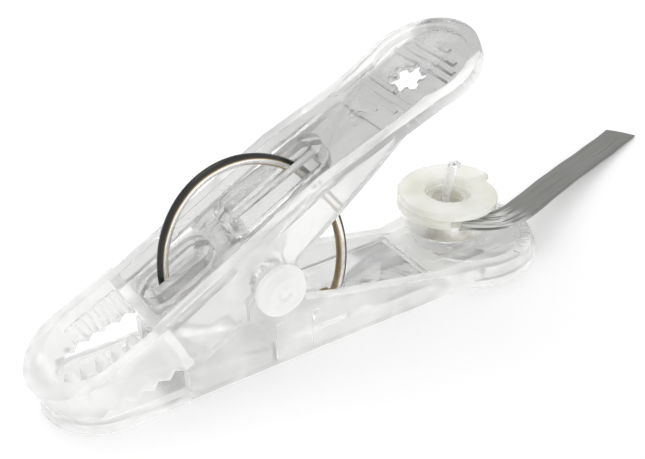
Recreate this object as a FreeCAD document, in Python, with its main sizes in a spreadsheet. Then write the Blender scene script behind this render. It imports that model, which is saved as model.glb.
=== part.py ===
import FreeCAD, Part
import Sketcher
import math
import os

from FreeCAD import Rotation, Vector

# A clear clothespin. X runs from the jaws (-X) to the tail (+X), Z is up, and the pivot axis is the
# line along Y at the height pivot_height. The origin is the point of the resting plane under it.
# The upper lever is drawn in its own frame, which has its origin on the pivot axis and its X along
# the lever, and is then turned up by lever_tilt.

SIZES = {
    # both levers
    "pivot_height": (13.2, "pivot axis above the resting plane"),
    "lever_tilt": (25.0, "upper lever against the lower, jaws closed, degrees"),
    "body_half": (8.0, "half width over the side walls"),
    "side_wall": (1.8, "side wall thickness"),
    "web_wall": (1.1, "floor and web thickness"),
    # pivot roller
    "shaft_radius": (2.6, "roller where the ears hold it"),
    "barrel_radius": (3.2, "roller between the ears"),
    "head_radius": (3.9, "domed roller ends"),
    "head_length": (1.7, "domed end, along the roller"),
    "dimple_radius": (1.1, "dimple in each domed end"),
    "dimple_depth": (0.35, "its depth"),
    "roller_fit": (0.05, "radial clearance in the saddles"),
    "ear_play": (0.2, "gap between an ear and the roller's shoulders"),
    "saddle_width": (2.4, "block over the roller beside each side wall"),
    # lower lever
    "front_length": (14.3, "pivot to the front of the side walls"),
    "rear_length": (29.2, "pivot to the rear of the side walls"),
    "front_height": (4.4, "side wall at the front"),
    "rear_height": (3.7, "side wall at the rear, and top of the tail pad"),
    "shoulder_length": (10.8, "pivot to the bend in the wall's top edge"),
    "shoulder_height": (7.6, "wall height there"),
    "ear_half": (4.3, "half length of an ear"),
    "ear_foot": (9.3, "height where an ear rises from the wall"),
    "ear_drop": (1.2, "ear top below the pivot axis"),
    "ear_splay": (0.3, "ear wider at its foot"),
    "floor_height": (2.3, "underside of the channel floor"),
    "cross_wall": (1.5, "cross wall behind the jaws"),
    "rib_width": (1.1, "stiffening rib on the outer wall"),
    "rib_proud": (0.4, "how far the rib stands out"),
    "mark_start": (18.0, "pivot to the raised mark on the channel floor"),
    "mark_length": (3.2, "its length"),
    "mark_half": (0.8, "its half width"),
    "mark_side": (2.1, "its middle line from the middle plane"),
    "mark_height": (0.25, "its height"),
    # lower jaw
    "jaw_half": (8.3, "half width of the lower jaw plate"),
    "jaw_length": (32.3, "pivot to the tip of the lower jaw"),
    "jaw_plate": (1.2, "plate thickness"),
    "lip_width": (1.3, "raised lip along the plate's edge"),
    "lip_height": (0.4, "its height above the plate"),
    "tooth_start": (18.2, "pivot to the nearest tooth"),
    "tooth_pitch": (2.35, "spacing of the teeth"),
    "tooth_length": (1.75, "a tooth along X"),
    "tooth_half": (1.3, "half width of a tooth"),
    "tooth_rise": (4.7, "top of the outermost tooth"),
    "jaw_slope": (13.0, "slope of the biting line, degrees"),
    # tail pad
    "pad_length": (39.1, "pivot to the centre of the tail pad"),
    "pad_radius": (11.0, "tail pad"),
    "pad_ledge": (0.7, "step in between the pad's two layers"),
    "pad_spread": (3.7, "from the pad's centre to where its neck joins the round"),
    "pad_foot": (0.5, "underside of the tail pad"),
    "pad_layer": (1.3, "lower layer of the pad"),
    "ring_groove": (8.6, "outer radius of the groove in the pad"),
    "groove_width": (0.35, "its width"),
    "groove_depth": (0.25, "its depth"),
    "tick_length": (1.2, "raised tick on the pad"),
    "tick_width": (0.3, "its width"),
    "tick_height": (0.2, "its height"),
    # upper lever, in its own frame
    "bar_length": (16.6, "pivot to the front of the cross bar"),
    "bar_wall": (1.5, "cross bar thickness"),
    "bar_height": (7.5, "top of the cross bar and of the jaw cup"),
    "crown_length": (13.0, "pivot to the highest point of the rim"),
    "crown_height": (9.3, "rim there"),
    "rim_depth": (1.5, "rim above the web"),
    "grip_height": (8.3, "top of the thumb pad"),
    "grip_under": (6.5, "underside of the thumb pad"),
    "grip_length": (35.7, "pivot to the centre of the thumb pad"),
    "grip_radius": (9.1, "thumb pad"),
    "grip_rim": (1.7, "rim round the thumb pad"),
    "grip_sink": (1.0, "recess in the thumb pad"),
    "grip_spread": (3.0, "from its centre to where its neck joins the round"),
    "dent_radius": (1.4, "round mark in the web before the thumb pad"),
    "dent_back": (11.9, "its middle short of the thumb pad's"),
    "star_back": (2.4, "middle of the lobed hole short of the thumb pad's"),
    "star_core": (1.9, "round middle of the lobed hole"),
    "star_lobe": (0.75, "radius of a lobe"),
    "star_reach": (2.1, "middle of the hole to the middle of a lobe"),
    "ridge_pitch": (1.35, "spacing of the ridges on the thumb pad"),
    "ridge_radius": (0.5, "their half round"),
    "ridge_sink": (0.12, "their middle line below the pad's floor"),
    "ridge_start": (2.8, "first ridge from the middle of the hole"),
    "ridge_field": (7.0, "radius of the ridged field"),
    "wall_under": (4.4, "underside of the side wall, mid handle"),
    "wall_mid": (18.7, "where it is measured"),
    "ear_under": (0.6, "how far an upper ear reaches below the pivot axis"),
    "ear_narrow": (0.7, "how much shorter than a lower ear its foot is"),
    "notch_reach": (1.6, "foot of the notch over a lower ear, ahead of that ear"),
    "notch_lead": (0.6, "top of that notch, ahead of the ear"),
    "notch_foot": (0.9, "foot of that notch below the pivot axis"),
    "notch_room": (0.15, "the notch clear of the ear's top"),
    # upper jaw, in the lever's own frame
    "cup_half": (8.6, "half width of the jaw cup"),
    "cup_length": (33.9, "pivot to the nose of the cup"),
    "cup_wall": (1.8, "its side walls"),
    "nose_wall": (3.2, "its wall at the nose"),
    "bite_height": (-0.3, "biting edge at the cross bar"),
    "bite_slope": (11.0, "slope of the biting edge, degrees"),
    "bite_depth": (1.0, "depth of its notches"),
    "flute_pitch": (1.05, "spacing of the flutes inside"),
    "flute_radius": (0.5, "their half round"),
    "flute_sink": (0.12, "their middle line inside the cup's wall"),
    "flute_top": (5.7, "top of the flutes"),
    # spring and its slots
    "wire_radius": (0.8, "spring wire"),
    "spring_along": (13.5, "half length of the oval along the lever"),
    "spring_across": (18.0, "half length across it"),
    "spring_shift": (0.8, "oval's centre from the pivot, along the lever"),
    "spring_drop": (1.4, "oval's centre below the pivot"),
    "hook_radius": (1.3, "bend at the wire's lower end"),
    "hook_length": (2.2, "straight part of that end"),
    "seat_height": (1.25, "middle of the hook above the resting plane"),
    "slot_half": (1.3, "half width of the spring slots"),
    "collar_wall": (1.5, "wall of the slot collars"),
    "collar_height": (9.6, "top of the rear collar"),
    "slot_start": (1.0, "start of the rear slot"),
    "slot_end": (16.2, "end of the rear slot"),
    "seat_start": (4.6, "rear end of the front seat"),
    "seat_end": (13.4, "front end of the front seat"),
    "seat_floor": (4.3, "bottom of the front seat"),
    "seat_collar": (8.0, "top of the front collar"),
    "hook_travel": (2.1, "travel of the wire's lower end, jaws opening"),
    "slot_room": (0.35, "ends of the floor slot clear of the wire"),
    "seat_room": (0.4, "end of the wire above the seat"),
    # button and strap
    "button_length": (37.8, "pivot to the button's axis"),
    "button_side": (3.3, "button's axis beyond the middle plane"),
    "boss_radius": (5.4, "round seat under the sleeve"),
    "boss_height": (0.8, "its height above the pad"),
    "sleeve_radius": (6.9, "metal sleeve"),
    "sleeve_height": (2.65, "its height"),
    "sleeve_bevel": (0.4, "bevel of its edges"),
    "sleeve_room": (0.25, "sleeve and seat clear of the post"),
    "strap_gap": (0.7, "room for the strap over the sleeve"),
    "coil_radius": (7.85, "button: a flat band wound in a coil"),
    "coil_bore": (3.5, "inside of the coil"),
    "coil_thickness": (1.35, "its band"),
    "coil_bevel": (0.3, "bevel of the band's edges"),
    "coil_pitch": (1.45, "rise of one turn"),
    "coil_from": (237.0, "direction of its low end, degrees"),
    "coil_turn": (600.0, "turn from the low end to the high end, degrees"),
    "coil_tilt": (2.7, "tilt of the coil, degrees"),
    "coil_low_side": (57.5, "direction it is tilted towards, degrees"),
    "coil_room": (0.27, "coil clear of the sleeve"),
    "hub_radius": (3.3, "ring inside the coil"),
    "hub_bore": (2.35, "its opening for the post"),
    "hub_height": (1.1, "its height"),
    "hub_bevel": (0.25, "bevel of its edges"),
    "post_radius": (0.75, "clear post"),
    "post_top": (14.9, "top of the post"),
    "post_depth": (1.25, "post set into the pad"),
    "post_room": (0.2, "bottom of its hole below it"),
    "post_back": (1.0, "its lean towards the jaws"),
    "post_near": (0.85, "its lean towards the near side"),
    "post_bend": (1.3, "its second bend above the strap"),
    "post_turn": (3.6, "its third bend above the strap"),
    "post_tip": (0.8, "its top beyond its foot"),
    "tip_half": (1.0, "half length of its pinched top"),
    "tip_side": (0.6, "half width of that top"),
    "tip_height": (1.1, "height of that top"),
    "tip_bevel": (0.25, "bevel of its edges"),
    "rest_gap": (0.03, "gap between stacked faces"),
    "strap_width": (5.0, "strap"),
    "strap_thickness": (0.4, "its thickness"),
}

TEETH = 5
FLUTES = 9
RIDGES = 5
NOTCHES = 7
TICKS = 13
LOBES = 6
TICK_SWEEP = 144.0  # degrees
DOME_STEPS = 5
DOME_SWEEP = 72.0  # degrees
DOME_SHARE = 0.55  # of the radius, taken up by the dome
BEND_SHARE = 0.45  # of the shorter run, taken up by a bend

# The strap's middle line, from beside the post to its cut end.
STRAP_ROUTE = [
    Vector(36.8, -1.8, 7.53),
    Vector(40.3, -4.7, 7.53),
    Vector(44.9, -4.4, 6.95),
    Vector(51.1, -1.2, 5.5),
    Vector(58.1, 2.3, 4.15),
    Vector(65.1, 5.5, 2.95),
    Vector(72.1, 8.5, 1.75),
    Vector(78.9, 11.2, 0.9),
    Vector(85.6, 13.75, 0.4),
]


class Size:
    """A number together with the spreadsheet formula that gives it."""

    def __init__(self, value, text):
        self.value = value
        self.text = text

    @staticmethod
    def of(other):
        return other if isinstance(other, Size) else Size(float(other), repr(float(other)))

    def __add__(self, other):
        other = Size.of(other)
        return Size(self.value + other.value, f"({self.text} + {other.text})")

    def __sub__(self, other):
        other = Size.of(other)
        return Size(self.value - other.value, f"({self.text} - {other.text})")

    def __mul__(self, other):
        other = Size.of(other)
        return Size(self.value * other.value, f"({self.text} * {other.text})")

    def __truediv__(self, other):
        other = Size.of(other)
        return Size(self.value / other.value, f"({self.text} / {other.text})")

    def __radd__(self, other):
        return Size.of(other) + self

    def __rsub__(self, other):
        return Size.of(other) - self

    def __rmul__(self, other):
        return Size.of(other) * self

    def __neg__(self):
        return Size.of(0) - self


def tangent(angle):
    """The tangent of a Size in degrees."""
    return Size(math.tan(math.radians(angle.value)), f"tan({angle.text})")


def root(square):
    """The square root of a Size."""
    return Size(math.sqrt(square.value), f"sqrt({square.text})")


class Sheet:
    """The driving dimensions, each cell read as an attribute by its alias."""

    def __init__(self, doc, sizes):
        self.cells = doc.addObject("Spreadsheet::Sheet", "size")
        self.known = {}
        for row, (alias, (value, note)) in enumerate(sizes.items(), start=1):
            self.cells.set(f"A{row}", str(value))
            self.cells.setAlias(f"A{row}", alias)
            self.cells.set(f"B{row}", note)
            self.known[alias] = Size(value, f"size.{alias}")

    def __getattr__(self, alias):
        return self.known[alias]


doc = FreeCAD.newDocument("clothespin")
size = Sheet(doc, SIZES)
doc.recompute()


# ---------------------------------------------------------------- building blocks


def bind(item, path, amount):
    """Bind one property of an object to a formula of the sheet."""
    item.setExpression(path, Size.of(amount).text)


def move(item, x=0, y=0, z=0):
    """Bind the place of an object."""
    for axis, amount in zip("xyz", (x, y, z)):
        bind(item, f"Placement.Base.{axis}", amount)
    return item


def box(name, x, y, z):
    """A box between the two ends given for each axis."""
    item = doc.addObject("Part::Box", name)
    for path, (low, high) in zip(("Length", "Width", "Height"), (x, y, z)):
        bind(item, path, Size.of(high) - Size.of(low))
    return move(item, x[0], y[0], z[0])


def cylinder(name, radius, x, y, z, axis="z"):
    """A cylinder. The place along its own axis is a pair, the other two are numbers."""
    item = doc.addObject("Part::Cylinder", name)
    span = {"x": x, "y": y, "z": z}[axis]
    bind(item, "Radius", radius)
    bind(item, "Height", Size.of(span[1]) - Size.of(span[0]))
    if axis == "y":
        item.Placement.Rotation = Rotation(Vector(1, 0, 0), -90)
    start = {"x": x, "y": y, "z": z}
    start[axis] = span[0]
    return move(item, start["x"], start["y"], start["z"])


def draw(sketch, points):
    """Fill a sketch with a closed outline, each corner held by two bound distances."""
    corners = [(Size.of(u), Size.of(v)) for u, v in points]
    spots = [Vector(u.value, v.value, 0) for u, v in corners]
    count = len(spots)
    for here in range(count):
        sketch.addGeometry(Part.LineSegment(spots[here], spots[(here + 1) % count]), False)
    for here in range(count):
        sketch.addConstraint(Sketcher.Constraint("Coincident", here, 2, (here + 1) % count, 1))
    for here, (u, v) in enumerate(corners):
        for kind, amount in (("DistanceX", u), ("DistanceY", v)):
            index = sketch.addConstraint(Sketcher.Constraint(kind, -1, 1, here, 1, amount.value))
            bind(sketch, f"Constraints[{index}]", amount)
    return sketch


def outline(name, points, upright):
    """A closed sketch through points, in the plan or in the side view."""
    sketch = doc.addObject("Sketcher::SketchObject", name)
    if upright:
        sketch.Placement.Rotation = Rotation(Vector(1, 0, 0), 90)
    return draw(sketch, points)


def extrude(name, sketch, start, length, symmetric):
    """A solid from a sketch, pushed along the sketch's normal."""
    item = doc.addObject("Part::Extrusion", name)
    item.Base = sketch
    item.DirMode = "Normal"
    item.Solid = True
    item.Symmetric = symmetric
    bind(item, "LengthFwd", length)
    if start is not None:
        bind(sketch, "Placement.Base.z", start)
    return item


def side_prism(name, points, half):
    """A solid whose side view is the outline, as wide as twice half, about the middle plane."""
    sketch = outline(name + "_outline", points, upright=True)
    return extrude(name, sketch, None, 2 * Size.of(half), True)


def plan_prism(name, points, low, high):
    """A solid whose plan is the outline, between two heights."""
    sketch = outline(name + "_outline", points, upright=False)
    return extrude(name, sketch, low, Size.of(high) - Size.of(low), False)


def fuse(name, *parts):
    item = doc.addObject("Part::MultiFuse", name)
    item.Shapes = list(parts)
    item.Refine = True
    return item


def common(name, *parts):
    item = doc.addObject("Part::MultiCommon", name)
    item.Shapes = list(parts)
    return item


def cut(name, base, *tools):
    item = doc.addObject("Part::Cut", name)
    item.Base = base
    item.Tool = tools[0] if len(tools) == 1 else fuse(name + "_tools", *tools)
    item.Refine = True
    return item


def obround(name, near, far, half, low, high, y=0):
    """An upright solid with two round ends, from x = near to x = far."""
    near, far, half, y = (Size.of(amount) for amount in (near, far, half, y))
    return fuse(
        name,
        box(name + "_middle", (near + half, far - half), (y - half, y + half), (low, high)),
        cylinder(name + "_near", half, near + half, y, (low, high)),
        cylinder(name + "_far", half, far - half, y, (low, high)),
    )


def finish(item, label):
    """Name a finished sub-part."""
    item.Label = label
    SUB_PARTS.append(item)
    return item


SUB_PARTS = []
FAR = 60.0  # past every solid, for cuts that go right through


# ---------------------------------------------------------------- lower lever


def jaw_teeth():
    """Round-topped teeth in a row on the jaw plate, rising towards the pivot."""
    slope = tangent(size.jaw_slope)
    teeth = []
    for number in range(TEETH):
        back = number * size.tooth_pitch
        x = -(size.tooth_start + back)
        low = size.tooth_rise + (TEETH - 1) * size.tooth_pitch * slope
        top = low - back * slope - size.tooth_length / 2
        half = size.tooth_length / 2
        span = (-size.tooth_half, size.tooth_half)
        teeth.append(box(f"tooth_{number}", (x - half, x + half), span, (0.0, top)))
        teeth.append(cylinder(f"tooth_top_{number}", half, x, span, top, axis="y"))
    spine_half = size.tooth_half / 2
    end = size.tooth_start + (TEETH - 1) * size.tooth_pitch
    spine_top = size.tooth_rise - size.tooth_length
    spine = box("tooth_spine", (-end, -size.front_length), (-spine_half, spine_half), (0.0, spine_top))
    return [*teeth, spine]


def tail_pad():
    """The two-layer round pad, its groove, raised ticks and the seat under the button."""
    x, radius = size.pad_length, size.pad_radius
    upper = radius - size.pad_ledge
    ledge = size.pad_foot + size.pad_layer
    top = size.rear_height
    neck = size.rear_length - size.side_wall
    spread = x - size.pad_spread
    layers = fuse(
        "pad_layers",
        cylinder("pad_lower", radius, x, 0, (size.pad_foot, ledge)),
        cylinder("pad_upper", upper, x, 0, (size.pad_foot, top)),
        plan_prism(
            "pad_neck",
            [
                (neck, -size.body_half),
                (spread, -(upper - size.pad_ledge)),
                (spread, upper - size.pad_ledge),
                (neck, size.body_half),
            ],
            size.pad_foot,
            top,
        ),
    )
    groove = cut(
        "pad_groove",
        cylinder("groove_out", size.ring_groove, x, 0, (top - size.groove_depth, FAR)),
        cylinder("groove_in", size.ring_groove - size.groove_width, x, 0, (0.0, FAR)),
        box("groove_front", (0.0, size.rear_length + size.side_wall), (-FAR, FAR), (0.0, FAR)),
    )
    grooved = cut("pad_grooved", layers, groove)
    seat = (top - size.groove_depth * 2, top + size.boss_height)
    boss = cylinder("pad_boss", size.boss_radius, size.button_length, size.button_side, seat)
    ticks = []
    for number in range(TICKS):
        angle = math.radians(TICK_SWEEP * (number / (TICKS - 1) - 0.5))
        reach = (size.ring_groove + upper) / 2
        tick = box(f"tick_{number}", (0, size.tick_length), (0, size.tick_width), (0, size.tick_height * 2))
        tick.Placement.Rotation = Rotation(Vector(0, 0, 1), math.degrees(angle))
        middle_x = size.tick_length / 2 * math.cos(angle) - size.tick_width / 2 * math.sin(angle)
        middle_y = size.tick_length / 2 * math.sin(angle) + size.tick_width / 2 * math.cos(angle)
        along = x + reach * math.cos(angle) - middle_x
        move(tick, along, reach * math.sin(angle) - middle_y, top - size.tick_height)
        ticks.append(tick)
    return [grooved, boss, *ticks]


def lower_lever():
    """The lever that lies on the table: jaw plate, side walls, ears, channel floor, tail pad."""
    inner = size.body_half - size.side_wall
    ear_top = size.pivot_height - size.ear_drop
    walls = side_prism(
        "lower_side",
        [
            (-size.front_length, 0.0),
            (size.rear_length, 0.0),
            (size.rear_length, size.rear_height),
            (size.shoulder_length, size.shoulder_height),
            (size.ear_half + size.ear_splay, size.ear_foot),
            (size.ear_half, ear_top),
            (-size.ear_half, ear_top),
            (-size.ear_half - size.ear_splay, size.ear_foot),
            (-size.front_length, size.front_height),
        ],
        size.body_half,
    )
    floor_top = size.floor_height + size.web_wall
    front = -size.front_length + size.cross_wall
    channel = box("channel", (front, FAR), (-inner, inner), (floor_top, FAR))
    rear_end = size.rear_length - size.side_wall
    under = (-FAR, size.floor_height)
    rib_half = size.rib_width / 2
    hollow_front = box("hollow_front", (front, -rib_half), (-inner, inner), under)
    hollow_rear = box("hollow_rear", (rib_half, rear_end), (-inner, inner), under)
    saddle = cylinder(
        "lower_saddle", size.shaft_radius + size.roller_fit, 0, (-FAR, FAR), size.pivot_height, axis="y"
    )
    hook = spring_hook()
    room = size.wire_radius + size.slot_room
    slot_ends = (hook[0] - size.hook_travel - room, hook[0] + size.wire_radius + room)
    slot = obround("floor_slot", *slot_ends, size.slot_half, 0.0, FAR)
    body = cut("lower_body", walls, channel, hollow_front, hollow_rear, saddle, slot)

    nose = size.jaw_length - size.jaw_half
    lip_top = size.jaw_plate + size.lip_height
    plate = fuse(
        "jaw_plate_solid",
        cylinder("jaw_nose", size.jaw_half, -nose, 0, (0.0, lip_top)),
        box("jaw_sides", (-nose, -size.front_length), (-size.jaw_half, size.jaw_half), (0.0, lip_top)),
    )
    inside = size.jaw_half - size.lip_width
    well = fuse(
        "jaw_well",
        cylinder("well_nose", inside, -nose, 0, (size.jaw_plate, FAR)),
        box("well_sides", (-nose, -size.front_length), (-inside, inside), (size.jaw_plate, FAR)),
    )
    jaw = cut("lower_jaw", plate, well)

    ribs = []
    for name, x in (("front", -rib_half), ("rear", size.ear_half + size.rib_width)):
        for side in (-1, 1):
            near = side * size.body_half
            edge = side * (size.body_half + size.rib_proud)
            y = (edge, near) if side < 0 else (near, edge)
            high = size.ear_foot - size.rib_width * 2
            foot = size.rib_width
            ribs.append(box(f"rib_{name}_{side + 1}", (x, x + size.rib_width), y, (foot, high)))
    mark_end = size.mark_start + size.mark_length
    mark_low = floor_top - size.mark_height
    mark_high = floor_top + size.mark_height
    mark = obround(
        "floor_mark", size.mark_start, mark_end, size.mark_half, mark_low, mark_high, y=-size.mark_side
    )
    whole = fuse("lower_all", body, jaw, *jaw_teeth(), *tail_pad(), *ribs, mark)
    bottom = size.rear_height - size.post_depth - size.post_room
    bore = size.post_radius + size.roller_fit
    hole = cylinder("post_hole", bore, size.button_length, size.button_side, (bottom, FAR))
    return finish(cut("lower_lever", whole, hole), "lower_lever")


# ---------------------------------------------------------------- upper lever


def biting_edge():
    """The notched lower edge of the jaw cup, as side-view points from the cross bar to the nose."""
    slope = tangent(size.bite_slope)
    pitch = (size.cup_length - size.bar_length) / NOTCHES
    points = []
    for number in range(NOTCHES):
        tip = number * pitch
        gap = (number + 0.5) * pitch
        points.append((-(size.bar_length + tip), size.bite_height + tip * slope))
        points.append((-(size.bar_length + gap), size.bite_height + gap * slope + size.bite_depth))
    reach = NOTCHES * pitch
    points.append((-(size.bar_length + reach), size.bite_height + reach * slope))
    return points


def jaw_cup():
    """The round-nosed cup of the upper jaw, open above and below, with flutes inside."""
    centre = size.cup_length - size.cup_half
    rear = -size.bar_length + size.bar_wall
    low = -size.barrel_radius
    plan = fuse(
        "cup_plan",
        cylinder("cup_nose", size.cup_half, -centre, 0, (low, size.bar_height)),
        box("cup_sides", (-centre, rear), (-size.cup_half, size.cup_half), (low, size.bar_height)),
    )
    edge = biting_edge()
    past = 1.0
    side = side_prism(
        "cup_side",
        [
            (rear, size.bite_height),
            *edge,
            (-(size.cup_length + past), edge[-1][1]),
            (-(size.cup_length + past), size.bar_height + past),
            (rear, size.bar_height + past),
        ],
        size.cup_half + past,
    )
    shell = common("cup_shell", plan, side)
    inside = size.cup_half - size.cup_wall
    inner_centre = size.cup_length - size.nose_wall - inside
    window = fuse(
        "cup_window",
        cylinder("window_nose", inside, -inner_centre, 0, (-FAR, FAR)),
        box("window_sides", (-inner_centre, -size.bar_length), (-inside, inside), (-FAR, FAR)),
    )
    cup = cut("cup_open", shell, window)
    flutes = []
    for number in range(FLUTES):
        x = size.bar_length + (number + 0.5) * size.flute_pitch
        low = size.bite_height + (x - size.bar_length) * tangent(size.bite_slope) + size.bite_depth
        for side_sign in (-1, 1):
            name = f"flute_{number}_{side_sign + 1}"
            y = side_sign * (inside + size.flute_sink)
            flutes.append(cylinder(name, size.flute_radius, -x, y, (low, size.flute_top)))
    return [cup, *flutes]


def thumb_pad():
    """The round thumb pad before its recess and hole are cut."""
    neck = size.grip_length - size.grip_radius
    spread = size.grip_length - size.grip_spread
    return [
        cylinder("grip_disc", size.grip_radius, size.grip_length, 0, (size.grip_under, size.grip_height)),
        plan_prism(
            "grip_neck",
            [
                (neck - size.side_wall, -size.body_half),
                (spread, -(size.grip_radius - size.side_wall / 4)),
                (spread, size.grip_radius - size.side_wall / 4),
                (neck - size.side_wall, size.body_half),
            ],
            size.grip_under,
            size.grip_height,
        ),
    ]


def star_middle():
    return size.grip_length - size.star_back


def thumb_ridges():
    """Half-round ridges across the thumb pad, on both sides of the lobed hole."""
    floor = size.grip_height - size.grip_sink
    ridges = []
    for number in range(RIDGES):
        for side in (-1, 1):
            reach = size.ridge_start + number * size.ridge_pitch
            if (size.ridge_field * size.ridge_field - reach * reach).value <= 0:
                continue
            half = root(size.ridge_field * size.ridge_field - reach * reach)
            x = star_middle() + side * reach
            name = f"ridge_{number}_{side + 1}"
            height = floor - size.ridge_sink
            ridges.append(cylinder(name, size.ridge_radius, x, (-half, half), height, axis="y"))
    return ridges


def lobed_hole():
    """The six-lobed hole through the thumb pad."""
    parts = [cylinder("star_core_cut", size.star_core, star_middle(), 0, (0.0, FAR))]
    for number in range(LOBES):
        angle = 2 * math.pi * (number + 0.25) / LOBES
        x = star_middle() + size.star_reach * math.cos(angle)
        y = size.star_reach * math.sin(angle)
        parts.append(cylinder(f"star_lobe_{number}", size.star_lobe, x, y, (0.0, FAR)))
    return fuse("lobed_hole", *parts)


def upper_lever():
    """The lever on top: jaw cup, cross bar, channel with slot collars, ears, thumb pad."""
    inner = size.body_half - size.side_wall
    rear = size.grip_length - size.grip_radius
    over_ear = size.ear_drop + size.notch_room
    walls = side_prism(
        "upper_side",
        [
            (-size.bar_length, size.bite_height),
            (-size.ear_half - size.notch_reach, -size.notch_foot),
            (-size.ear_half - size.notch_lead, over_ear),
            (0.0, over_ear),
            (0.0, -size.ear_under),
            (size.ear_half - size.ear_narrow, -size.ear_under),
            (size.ear_half + size.ear_splay, size.ear_drop),
            (size.wall_mid, size.wall_under),
            (rear, size.grip_under),
            (rear, size.grip_height),
            (size.crown_length, size.crown_height),
            (-size.bar_length, size.bar_height),
        ],
        size.body_half,
    )
    web_front = size.bar_height - size.rim_depth
    web_crown = size.crown_height - size.rim_depth
    web_rear = size.grip_height - size.grip_sink
    front = -size.bar_length + size.bar_wall
    channel = side_prism(
        "upper_channel",
        [
            (front, web_front),
            (size.crown_length, web_crown),
            (size.grip_length, web_rear),
            (size.grip_length, FAR),
            (front, FAR),
        ],
        inner,
    )
    under = size.web_wall
    hollow = side_prism(
        "upper_hollow",
        [
            (front, -FAR),
            (rear - size.side_wall, -FAR),
            (rear - size.side_wall, size.grip_under),
            (size.crown_length, web_crown - under),
            (front, web_front - under),
        ],
        inner,
    )
    block_height = (over_ear - size.ear_drop / 2, web_front)
    blocks = []
    for side in (-1, 1):
        y = sorted((side * inner, side * (inner - size.saddle_width)), key=lambda edge: edge.value)
        span = (-size.barrel_radius, size.barrel_radius)
        blocks.append(box(f"saddle_block_{side + 1}", span, y, block_height))
    recess_radius = size.grip_radius - size.grip_rim
    recess = cylinder("grip_recess", recess_radius, size.grip_length, 0, (web_rear, FAR))
    dent = cylinder("web_dent", size.dent_radius, size.grip_length - size.dent_back, 0, (web_rear, FAR))
    frame = cut("upper_frame", fuse("upper_solid", walls, *thumb_pad()), channel, hollow, recess, dent)

    outer = size.slot_half + size.collar_wall
    grow = size.collar_wall
    rear_collar = obround(
        "rear_collar",
        size.slot_start - grow,
        size.slot_end + grow,
        outer,
        web_front - under,
        size.collar_height,
    )
    front_collar = obround(
        "front_collar",
        -(size.seat_end + grow),
        -(size.seat_start - grow),
        outer,
        size.seat_floor - under,
        size.seat_collar,
    )
    whole = fuse(
        "upper_all", frame, *blocks, rear_collar, front_collar, *thumb_ridges(), *jaw_cup()
    )
    rear_slot = obround("rear_slot", size.slot_start, size.slot_end, size.slot_half, size.ear_drop, FAR)
    seat = obround("front_seat", -size.seat_end, -size.seat_start, size.slot_half, size.seat_floor, FAR)
    shaft = size.shaft_radius + size.roller_fit
    barrel = size.barrel_radius + size.roller_fit
    saddle = cylinder("upper_saddle", shaft, 0, (-FAR, FAR), 0, axis="y")
    barrel_cut = cylinder("barrel_room", barrel, 0, (-inner, inner), 0, axis="y")
    lever = cut("upper_lever", whole, rear_slot, seat, lobed_hole(), saddle, barrel_cut)
    bind(lever, "Placement.Base.z", size.pivot_height)
    lever.Placement.Rotation = Rotation(Vector(0, 1, 0), -size.lever_tilt.value)
    return finish(lever, "upper_lever")


# ---------------------------------------------------------------- roller, sleeve and disc


def turned(name, points):
    """A body turned about the vertical axis of its own sketch, from radius and height points."""
    body = doc.addObject("PartDesign::Body", name)
    sketch = body.newObject("Sketcher::SketchObject", name + "_profile")
    front = [item for item in body.Origin.OriginFeatures if item.Role == "XZ_Plane"][0]
    sketch.AttachmentSupport = (front, [""])
    sketch.MapMode = "FlatFace"
    draw(sketch, points)
    turn = body.newObject("PartDesign::Revolution", name + "_turn")
    turn.Profile = sketch
    turn.ReferenceAxis = (sketch, ["V_Axis"])
    turn.Angle = 360
    body.Tip = turn
    return body


def dome(radius, base, height):
    """Radius and height points of a low dome, from its rim to just outside its dimple."""
    points = []
    for step in range(DOME_STEPS + 1):
        angle = math.radians(DOME_SWEEP * step / DOME_STEPS)
        share = 1 - DOME_SHARE + DOME_SHARE * math.cos(angle)
        points.append((radius * share, base + height * math.sin(angle)))
    return points


def pivot_roller():
    """A milky roller: shaft in the ears, wider barrel between them, a domed head outside each."""
    inner = size.body_half - size.side_wall - size.ear_play
    outer = size.body_half + size.rib_proud + size.ear_play
    crown = dome(size.head_radius, outer + size.head_length / 3, size.head_length * 2 / 3)
    top = crown[-1][1]
    half = [
        (size.barrel_radius, 0.0),
        (size.barrel_radius, inner),
        (size.shaft_radius, inner),
        (size.shaft_radius, outer),
        (size.head_radius, outer),
        *crown,
        (size.dimple_radius, top),
        (size.dimple_radius * 0.7, top - size.dimple_depth),
        (0.0, top - size.dimple_depth),
    ]
    mirrored = [(radius, -height) for radius, height in reversed(half[1:])]
    body = turned("roller", [*half, *mirrored])
    body.Placement.Rotation = Rotation(Vector(1, 0, 0), 90)
    bind(body, "Placement.Base.z", size.pivot_height)
    return finish(body, "pivot_roller")


def sleeve_base():
    return size.rear_height + size.boss_height + size.rest_gap


def sleeve_top():
    return sleeve_base() + size.sleeve_height


def strap_sleeve():
    """The bright metal spool that the strap lies on."""
    low = sleeve_base()
    high = sleeve_top()
    bevel = size.sleeve_bevel
    bore = size.post_radius + size.sleeve_room
    points = [
        (bore, low),
        (size.sleeve_radius - bevel * 1.5, low),
        (size.sleeve_radius, low + bevel),
        (size.sleeve_radius, high - bevel),
        (size.sleeve_radius - bevel, high),
        (bore, high),
    ]
    body = move(turned("sleeve", points), size.button_length, size.button_side)
    return finish(body, "strap_sleeve")


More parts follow.
